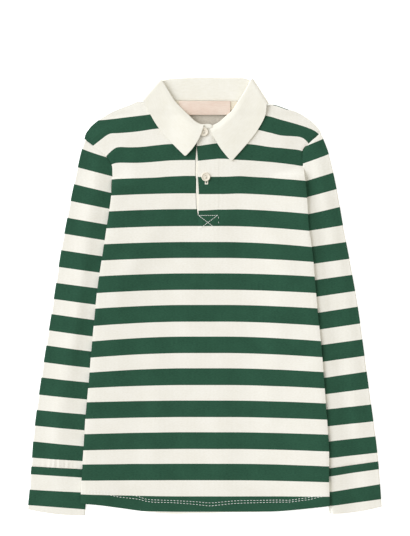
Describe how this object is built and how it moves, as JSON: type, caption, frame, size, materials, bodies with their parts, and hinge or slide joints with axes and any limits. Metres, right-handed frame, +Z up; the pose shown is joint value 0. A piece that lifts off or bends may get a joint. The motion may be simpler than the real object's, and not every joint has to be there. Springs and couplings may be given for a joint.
{
  "type": "long-sleeved polo shirt",
  "caption": "Child's long-sleeved striped polo shirt laid flat, with a folded collar, buttoned placket, banded cuffs and a curved hem.",
  "frame": {"origin": "middle of the shirt's footprint, on the surface that it lies on", "axes": "+X to the wearer's left, +Y from the hem to the collar, +Z up from the surface, out of the front"},
  "size_m": [0.4432, 0.5483, 0.0122],
  "materials": {
    "striped_jersey": "cotton jersey in bottle green and off-white stripes, 20 mm each, matt",
    "cream_twill": "cream woven cotton twill, matt",
    "cream_tape": "cream herringbone cotton tape, matt",
    "pink_label": "plain pale pink woven satin label, bare",
    "shirt_button": "cream two-hole shirt button, semi-gloss"
  },
  "bodies": {
    "root": {"front": "striped_jersey", "back": "striped_jersey", "sleeve_right": "striped_jersey", "sleeve_left": "striped_jersey", "cuff_right": "striped_jersey", "cuff_left": "striped_jersey", "placket_cover": "striped_jersey", "placket_facing": "cream_twill", "collar": "cream_twill", "neck_tape": "cream_tape", "label": "pink_label", "button_neck": "shirt_button", "button_placket": "shirt_button"}
  },
  "joints": []
}
